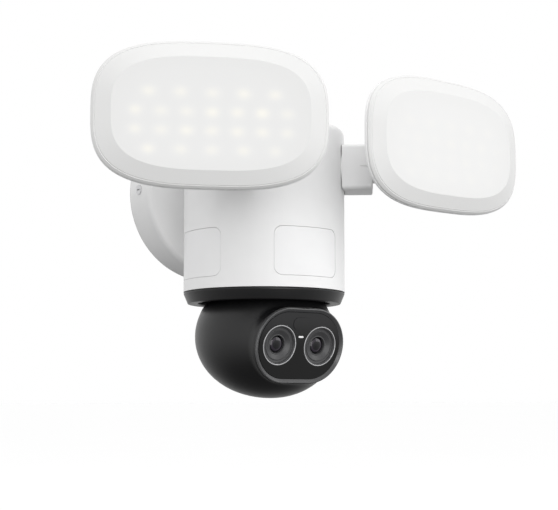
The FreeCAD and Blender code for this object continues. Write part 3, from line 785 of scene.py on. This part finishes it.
# ---- camera ball ----
@dataclass
class CameraBall:
    """The black ball, made about its tilt axis with its face to -Y, then leaned and turned to its pose."""

    centre: Vector
    pan: float
    tilt: float = 12.0
    radius: float = 45.4 * MM
    rise: float = 46.0 * MM
    drop: float = 37.8 * MM
    rise_power: float = 1.82
    drop_power: float = 2.1
    face_plane: float = 36.0 * MM
    half_width: float = 34.0 * MM
    end_radius: float = 23.6 * MM
    face_raise: float = 1.5 * MM
    seam: float = 30.0 * MM
    wall: float = 2.5 * MM
    lens_offset: float = 15.75 * MM
    ring_radius: float = 12.5 * MM

    def place(self, piece: Piece) -> Piece:
        """Leans and turns a piece into the stored pose."""
        turn = Matrix.Rotation(self.pan, 4, "Z") @ Matrix.Rotation(math.radians(self.tilt), 4, "X")
        piece.matrix_world = Matrix.Translation(self.centre) @ turn
        return piece

    def reach(self, direction: Vector, inset: float) -> float:
        """How far the ball's skin is from its centre in a direction."""
        flat = math.hypot(direction.x, direction.y)
        upper = direction.z > 0
        tall, power = (self.rise, self.rise_power) if upper else (self.drop, self.drop_power)
        across = (flat / (self.radius - inset)) ** power
        upright = (abs(direction.z) / (tall - inset)) ** power
        return (across + upright) ** (-1 / power)

    def skin_depth(self, x: float, z: float, inset: float) -> float:
        """The y of the ball's front skin over a point of the face plane."""
        def inside(depth: float) -> bool:
            """Whether the point at that depth is inside the ball."""
            direction = Vector((x, -depth, z))
            return direction.length < self.reach(direction.normalized(), inset)

        return -halve(0.0, self.radius, inside)

    @staticmethod
    def outward(flat: Vector, angle: float) -> Vector:
        """The direction at an angle from the face's axis, towards flat."""
        return Vector((flat.x * math.sin(angle), -math.cos(angle), flat.z * math.sin(angle)))

    def shell_column(self, edge: Vector, inset: float, steps: int) -> list[Vector]:
        """Points from the face's edge over the ball to the back seam, for one place on that edge.

        Args:
            edge: the place on the face's outline.
            inset: how far inside the outer skin.
            steps: how many points follow the ball.

        Returns:
            The points, from the face to the seam.
        """
        start = Vector((edge.x, self.skin_depth(edge.x, edge.z, inset), edge.z)).normalized()
        flat = Vector((edge.x, 0, edge.z)).normalized()
        first = math.atan2(math.hypot(start.x, start.z), -start.y)
        points = []
        last = self.seam_angle(flat, inset)
        for step in range(steps + 1):
            angle = first + (last - first) * step / steps
            direction = self.outward(flat, angle)
            points.append(direction * self.reach(direction.normalized(), inset))
        return points

    def seam_angle(self, flat: Vector, inset: float) -> float:
        """The angle from the face's axis at which the skin meets the seam plane."""
        def before(angle: float) -> bool:
            """Whether the skin at that angle is in front of the seam."""
            direction = self.outward(flat, angle)
            return direction.y * self.reach(direction.normalized(), inset) < self.seam

        return halve(0.5 * math.pi, math.pi, before)

    def opening_cutter(self) -> Piece:
        """The gap in the ball's top that the fork reaches through."""
        inner, outer, steps = 24.5 * MM, 60.0 * MM, 14
        angles = [math.radians(82 + 70 * step / steps) for step in range(steps + 1)]
        outline = [(-inner * math.cos(a), inner * math.sin(a)) for a in angles]
        outline += [(-outer * math.cos(a), outer * math.sin(a)) for a in reversed(angles)]
        return finish_mesh("opening", solid_from(outline, -50 * MM, 50 * MM, Direction.ACROSS))

    def build_shell(self) -> Piece:
        """Returns: the front shell, hollow, with its pod round the face and the fork's gap on top."""
        edge = stadium(self.half_width, self.end_radius, self.face_raise, 0.0)
        columns = []
        for spot in edge:
            outer = self.shell_column(spot, 0.0, 40)
            inner = self.shell_column(spot, self.wall, 24)
            away = Vector((spot.x, 0, spot.z - self.face_raise)).normalized()
            proud = outer[0].y + self.face_plane
            lip = Vector((spot.x, -self.face_plane, spot.z))
            if proud > 0:
                bends = ((0.0, 0.0), (0.25 * MM, 0.12 * MM), (0.4 * MM, 0.5 * MM), (0.45 * MM, proud * 0.5))
            else:
                bends = ((0.0, 0.0), (0.0, proud * 0.4), (0.0, proud * 0.85), (0.12 * MM, proud * 0.97))
            run = [lip + away * out + Vector((0, back, 0)) for out, back in bends]
            run.append(outer[0] + away * 0.5 * MM)
            inner_lip = lip - away * self.wall
            foot = inner_lip + Vector((0, 2.5 * MM, 0))
            columns.append([inner_lip, *run, *outer[1:], *reversed(inner), foot])
        rings = [list(ring) for ring in zip(*columns)]
        shell = skin("ball_shell", rings, closed=True, sharp=50.0)
        return carve(shell, [self.opening_cutter()])

    def build_bezel(self) -> Piece:
        """Returns: the face's trim ring, which slopes inwards to the glass."""
        section = soften([
            (0.05 * MM, 35.2 * MM, 0.0), (0.05 * MM, 37.2 * MM, 0.3 * MM),
            (0.75 * MM, 37.35 * MM, 0.25 * MM),
            (2.55 * MM, 36.05 * MM, 0.2 * MM), (2.75 * MM, 34.8 * MM, 0.0),
        ])
        rings = [stadium(self.half_width - inset, self.end_radius - inset, self.face_raise, -depth)
                 for inset, depth in section]
        return skin("face_trim_ring", rings, closed=True)

    def lens_places(self) -> list[Point]:
        """The two lens centres in the face."""
        return [(sign * self.lens_offset, self.face_raise) for sign in (-1, 1)]

    def build_lens(self, number: int, spot: Point, finishes: Finishes) -> None:
        """Builds one lens: its ring, stepped barrel and glass."""
        front = self.face_plane + 0.2 * MM
        base = Vector((spot[0], -front, spot[1]))
        back = Vector((0, 1, 0))
        outer = self.ring_radius
        ring = soften([
            (outer, 1.6 * MM, 0.0), (outer, -0.25 * MM, 0.15 * MM), (outer - 0.6 * MM, -0.25 * MM, 0.15 * MM),
            (outer - 0.75 * MM, 0.5 * MM, 0.0), (outer - 0.75 * MM, 1.6 * MM, 0.0),
        ], 3)
        barrel = soften([
            (11.7 * MM, 9.0 * MM, 0.0), (11.7 * MM, 0.35 * MM, 0.1 * MM), (11.2 * MM, 0.45 * MM, 0.1 * MM),
            (10.9 * MM, 1.35 * MM, 0.1 * MM), (9.6 * MM, 1.5 * MM, 0.15 * MM),
            (9.35 * MM, 1.15 * MM, 0.1 * MM),
            (9.0 * MM, 1.2 * MM, 0.1 * MM), (6.3 * MM, 2.75 * MM, 0.2 * MM), (5.9 * MM, 2.6 * MM, 0.1 * MM),
            (5.6 * MM, 2.7 * MM, 0.1 * MM), (5.3 * MM, 4.2 * MM, 0.1 * MM), (5.0 * MM, 9.0 * MM, 0.0),
        ], 3)
        steps, lens_radius = 12, 5.25 * MM
        dome = []
        for step in range(steps + 1):
            angle = 0.5 * math.pi * step / steps
            dome.append((max(lens_radius * math.sin(angle), 1e-6), 4.6 * MM - 1.6 * MM * math.cos(angle)))
        dome += [(lens_radius, 6.0 * MM), (1e-6, 6.0 * MM)]
        parts = (
            ("lens_trim", ring, 160, finishes.ring, "silver_ring", "lens_rings"),
            ("lens_barrel", barrel, 160, finishes.barrel, "lens_black", "lens_barrels"),
            ("lens_dome", dome, 96, finishes.lens, "optical_glass", "lens_glasses"),
        )
        for name, profile, segments, finish, slot, node in parts:
            piece = turned(f"{name}_{number}", profile, base, back, segments)
            put(self.place(piece), finish, "ball", node)

    def build(self, finishes: Finishes) -> None:
        """Builds and places the ball's pieces."""
        put(self.place(self.build_shell()), finishes.black, "ball", "ball_front_shell")
        put(self.place(self.build_bezel()), finishes.trim, "ball", "face_bezel")
        for number, spot in enumerate(self.lens_places(), 1):
            self.build_lens(number, spot, finishes)


# ---- pan skirt and arms ----
@dataclass
class PanSkirt:
    """The black tapered ring that turns under the housing."""

    axis: Vector
    top: float
    height: float = 6.9 * MM
    radius: float = 52.0 * MM
    foot_radius: float = 49.2 * MM
    mouth_radius: float = 42.8 * MM

    def build(self, finishes: Finishes) -> None:
        """Builds and places the ring."""
        foot = self.top - self.height
        section = soften([
            (47.1 * MM, self.top, 0.0), (self.radius, self.top, 0.5 * MM),
            (self.radius - 0.25 * MM, self.top - 0.9 * MM, 0.3 * MM),
            (self.foot_radius, foot, 0.7 * MM), (self.mouth_radius + 0.6 * MM, foot, 0.3 * MM),
            (self.mouth_radius, foot + 0.6 * MM, 0.3 * MM), (self.mouth_radius, self.top - 4.7 * MM, 0.0),
            (47.1 * MM, self.top - 4.7 * MM, 0.0),
        ])
        ring = turned("pan_ring", section, Vector((self.axis.x, self.axis.y, 0)), UPRIGHT, 200)
        put(ring, finishes.black, "pan", "pan_skirt")


@dataclass
class FloodlightArm:
    """One arm: a thick box on the swivel axis, then a narrow tongue that ends in the hinge knuckle."""

    side: Side
    swivel: Vector
    hinge: Vector
    box_start: float = 52.7 * MM
    box_end: float = 70.5 * MM
    half_depth: float = 14.0 * MM
    half_tall: float = 14.75 * MM
    edge: float = 2.6 * MM
    knuckle_radius: float = 8.0 * MM
    knuckle_half: float = 11.0 * MM

    def section(self, half_a: float, half_b: float, corner: float, along: float) -> list[Vector]:
        """A rounded rectangle across the arm, at a distance along it."""
        points = []
        steps = 8
        for turn in range(4):
            diagonal = 0.5 * math.pi * (turn + 0.5)
            middle_a = math.copysign(half_a - corner, math.cos(diagonal))
            middle_b = math.copysign(half_b - corner, math.sin(diagonal))
            for step in range(steps + 1):
                angle = 0.5 * math.pi * (turn + step / steps)
                a, b = middle_a + corner * math.cos(angle), middle_b + corner * math.sin(angle)
                points.append(Vector((along, a, b)))
        return points

    def place(self, piece: Piece, axis: Vector) -> Piece:
        """Turns a piece made along +X from the body axis into line with the arm."""
        out = Vector((self.hinge.x - axis.x, self.hinge.y - axis.y, 0))
        turn = Matrix.Rotation(math.atan2(out.y, out.x), 4, "Z")
        piece.matrix_world = Matrix.Translation((axis.x, axis.y, self.swivel.z)) @ turn
        return piece

    def build_box(self) -> Piece:
        """Returns: the thick part, with rounded edges, a shadow gap at the body and a mark line."""
        half_a, half_b, edge = self.half_depth, self.half_tall, self.edge
        root = 50.0 * MM
        runs = soften([(0.0, root, 0.0), (0.0, self.box_end, 1.4 * MM), (6.0 * MM, self.box_end, 0.0)], 5)
        rings = [self.section(half_a, half_b, edge, root)]
        for inset, along in runs[1:-1]:
            corner = max(edge - inset, 0.6 * MM)
            rings.append(self.section(half_a - inset, half_b - inset, corner, along))
        box = skin(f"floodlight_arm_{self.side.label}", rings)
        face = -1 if self.side is Side.RIGHT else 1
        outline = [(self.box_end - 8.2 * MM, -0.4 * MM), (self.box_end + MM, -0.4 * MM),
                   (self.box_end + MM, 0.4 * MM), (self.box_end - 8.2 * MM, 0.4 * MM)]
        low, high = sorted((face * (half_a - 0.8 * MM), face * (half_a + MM)))
        mark = finish_mesh("mark", solid_from(outline, low, high, Direction.BACK))
        tall, core = 30.0 * MM, 20.0 * MM
        outline = [(self.box_start, -tall), (self.box_start, tall), (core, tall), (core, -tall)]
        body_cut = turned("body_cut", outline, Vector((0, 0, 0)), UPRIGHT, 256)
        return carve(box, [mark, body_cut])

    def build_tongue(self) -> Piece:
        """Returns: the narrow tongue."""
        lift = self.hinge.z - self.swivel.z
        ends = (68.5 * MM, 94.0 * MM)
        rings = [self.section(7.5 * MM, self.knuckle_half, 1.2 * MM, along) for along in ends]
        tongue = skin(f"arm_tongue_{self.side.label}", rings)
        tongue.data.transform(Matrix.Translation((0, 0, lift)))
        return tongue

    def build_knuckle(self, reach: float) -> Piece:
        """Returns: the knuckle round the hinge pin."""
        radius, tall, inner = self.knuckle_radius, 2 * self.knuckle_half, 2.55 * MM
        edge = 0.6 * MM
        section = soften([(inner, 0.0, 0.0), (radius, 0.0, edge), (radius, tall, edge), (inner, tall, 0.0)])
        base = Vector((reach, 0, self.hinge.z - self.swivel.z - self.knuckle_half))
        return turned(f"arm_knuckle_{self.side.label}", section, base, UPRIGHT, 96)

    def build(self, finishes: Finishes, axis: Vector) -> None:
        """Builds and places the arm.

        Args:
            finishes: the object's finishes.
            axis: a point on the body's upright axis.
        """
        body = f"arm_{self.side.label}"
        reach = math.hypot(self.hinge.x - axis.x, self.hinge.y - axis.y)
        for piece in (self.build_box(), self.build_tongue(), self.build_knuckle(reach)):
            put(self.place(piece, axis), finishes.white, body, body)


# ---- finishes of the whole object ----
@dataclass
class Finishes:
    """Every finish of the object."""

    white: Material = field(init=False)
    black: Material = field(init=False)
    trim: Material = field(init=False)
    ring: Material = field(init=False)
    barrel: Material = field(init=False)
    lens: Material = field(init=False)
    opal: dict[Side, Material] = field(init=False)
    slots: dict[str, Material] = field(init=False)

    def __post_init__(self) -> None:
        """Builds the materials."""
        self.white = Moulding("white_moulding", (0.835, 0.835, 0.835), 0.48, specular=0.35).build()
        black = (0.006, 0.006, 0.0065)
        self.black = Moulding("black_moulding", black, 0.37, grain=0.00002, specular=0.48).build()
        self.trim = Moulding("grey_trim", (0.06, 0.06, 0.062), 0.22, grain=0.000004, specular=0.6).build()
        self.ring = Metal("turned_ring", (0.62, 0.62, 0.63), 0.32).build()
        self.barrel = Moulding("lens_barrel_black", (0.045, 0.045, 0.047), 0.40, grain=0.00001).build()
        centres = [(-15.75 * MM, 1.5 * MM), (15.75 * MM, 1.5 * MM)]
        self.lens = CoatedLens("coated_lens", centres, 5.25 * MM).build()
        layout = {"rows": (5, 7, 7, 5), "pitches": {5: 17.9 * MM, 7: 14.3 * MM}, "row_pitch": 10.9 * MM,
                  "drop": 4.7 * MM, "window": (55.5 * MM, 31.5 * MM)}
        self.opal = {
            Side.LEFT: OpalFront("opal_front_left", glow=0.02, spot=0.155, **layout).build(),
            Side.RIGHT: OpalFront("opal_front_right", glow=0.03, spot=0.045, **layout).build(),
        }
        made = {
            "white_cap": Moulding("white_cap", (0.82, 0.82, 0.82), 0.5),
            "window_lens": Moulding("window_skin", (0.835, 0.835, 0.838), 0.44, 0.000012, specular=0.35),
            # the face plate's lighter top is a painted reflection
            "black_gloss": Gloss("black_face", (0.022, 0.022, 0.023), (0.001,) * 3, -0.108, -0.088),
            "white_light": Moulding("light_pipe", (0.9, 0.9, 0.9), 0.3, grain=0.000004),
            "steel": Metal("zinc_plate", (0.60, 0.60, 0.61), 0.35),
            "screw_steel": Metal("screw_steel", (0.62, 0.62, 0.63), 0.28),
            "seal_rubber": Rubber("black_silicone", (0.03, 0.03, 0.03)),
            "grey_rubber": Rubber("grey_silicone", (0.42, 0.42, 0.42)),
            "acetal": Moulding("acetal", (0.70, 0.70, 0.66), 0.35),
            "inner_plastic": Moulding("nylon", (0.05, 0.05, 0.052), 0.5),
            "circuit_board": Board("green_board", (0.01, 0.07, 0.03)),
            "led_board_white": Board("white_board", (0.75, 0.75, 0.74)),
            "led_phosphor": Moulding("phosphor", (0.85, 0.66, 0.18), 0.4),
            "heat_sink_metal": Metal("heat_sink", (0.68, 0.68, 0.69), 0.4),
            "motor_metal": Metal("motor_can", (0.5, 0.5, 0.52), 0.3),
            "copper_strip": Board("antenna_strip", (0.22, 0.12, 0.04)),
        }
        self.slots = {slot: finish.build() for slot, finish in made.items()}
        self.slots.update(white_shell=self.white, black_shell=self.black)

    def dress(self, frame: Mapping[str, Any]) -> None:
        """Gives every CAD node that still shows the finish of its record slot."""
        slot_of = {part["node"]: part["material_slot"] for part in frame["record"]["subparts"]}
        for name, node in frame["nodes"].items():
            if slot_of[name] in self.slots and not node.hide_render:
                node.data.materials.clear()
                node.data.materials.append(self.slots[slot_of[name]])


# ---- studio ----
@dataclass
class Studio:
    """The pale floor, the soft lights and the camera."""

    azimuth: float = -33.5
    elevation: float = -6.2
    distance: float = 0.850
    target: Vector = field(default_factory=lambda: Vector((8.0, -84.4, -46.4)) * MM)
    lens: float = 84.6
    floor_level: float = -0.34
    nadir: float = 0.14
    nadir_level: float = -0.76
    lights: tuple[tuple[str, Point3, float, float], ...] = (
        ("key_light", (1.2, -1.1, 0.3), 0.9, 4.5),
        ("front_light", (-0.62, -1.05, 0.10), 0.4, 1.4),
        ("low_fill", (-0.15, -1.3, -0.27), 0.7, 4.2),
        ("top_light", (-0.3, -0.6, 1.3), 0.8, 3.5),
    )

    def build_camera(self) -> None:
        """Places the camera."""
        data = bpy.data.cameras.new("view")
        data.lens = self.lens
        data.sensor_width = 36.0
        data.clip_start = 0.01
        camera = bpy.data.objects.new("view", data)
        bpy.context.scene.collection.objects.link(camera)
        turn, rise = math.radians(self.azimuth), math.radians(self.elevation)
        back = Vector((math.sin(turn) * math.cos(rise), -math.cos(turn) * math.cos(rise), math.sin(rise)))
        camera.location = self.target + back * self.distance
        camera.rotation_euler = (-back).to_track_quat("-Z", "Y").to_euler()
        bpy.context.scene.camera = camera

    def build_world(self) -> None:
        """A white studio sky, darker below the horizon."""
        world = bpy.data.worlds.new("studio_sky")
        bpy.context.scene.world = world
        nodes = Nodes(world)
        place = nodes.node("ShaderNodeTexCoord", {}, {}).outputs["Generated"]
        height = nodes.node("ShaderNodeSeparateXYZ", {}, {"Vector": place}).outputs["Z"]
        fade = {"Value": height, "From Min": self.nadir_level, "From Max": 0.0, "To Min": self.nadir,
                "To Max": 1.0}
        bright = nodes.node("ShaderNodeMapRange", {}, fade).outputs["Result"]
        sky = nodes.node("ShaderNodeBackground", {}, {"Color": bright, "Strength": 1.0}).outputs[0]
        nodes.node("ShaderNodeOutputWorld", {}, {"Surface": sky})

    def build_floor(self) -> None:
        """A plain pale floor under the object."""
        half = 40.0
        work = bmesh.new()
        corners = [(half, -half), (half, half), (-half, half), (-half, -half)]
        work.faces.new([work.verts.new((x, y, self.floor_level)) for x, y in corners])
        floor = finish_mesh("studio_floor", work)
        graph = Graph("pale_floor")
        cloud = graph.noise(1.5, 2.0)
        graph.surface(Base_Color=graph.blend(cloud, (0.985,) * 3, (0.995,) * 3))
        graph.surface(Roughness=0.9, Specular_IOR_Level=0.0)
        floor.data.materials.append(graph.material)
        floor.visible_diffuse = False
        floor.visible_glossy = False

    def light(self, name: str, place: Point3, size: float, power: float) -> None:
        """Adds a soft square light that faces the object."""
        data = bpy.data.lights.new(name, "AREA")
        data.size = size
        data.energy = power
        lamp = bpy.data.objects.new(name, data)
        bpy.context.scene.collection.objects.link(lamp)
        lamp.location = Vector(place)
        lamp.rotation_euler = (self.target - lamp.location).to_track_quat("-Z", "Y").to_euler()

    def build(self) -> None:
        """Builds the whole studio."""
        bpy.context.scene.view_settings.view_transform = "Standard"
        self.build_camera()
        self.build_world()
        self.build_floor()
        for lamp in self.lights:
            self.light(*lamp)


def main() -> None:
    """Builds the object's looks and its studio in order."""
    logging.basicConfig(level=logging.INFO, format="%(message)s")
    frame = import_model()
    joints = {joint["name"]: joint for joint in frame["joints"]}
    finishes = Finishes()
    pan_axis = Vector(joints["camera_pan"]["pos_m"])
    for side, turn in ((Side.LEFT, -24.9), (Side.RIGHT, 6.0)):
        hinge = Vector(joints[f"{side.label}_head_turn"]["pos_m"])
        swivel = Vector(joints[f"{side.label}_arm_swivel"]["pos_m"])
        FloodlightHead(side, hinge, turn).build(finishes)
        FloodlightArm(side, swivel, hinge).build(finishes, pan_axis)
    tilt = joints["camera_tilt"]
    CameraBall(Vector(tilt["pos_m"]), math.atan2(tilt["axis"][1], tilt["axis"][0])).build(finishes)
    PanSkirt(pan_axis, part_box("pan_skirt")[1].z).build(finishes)
    finishes.dress(frame)
    Studio().build()


if __name__ == "__main__":
    main()
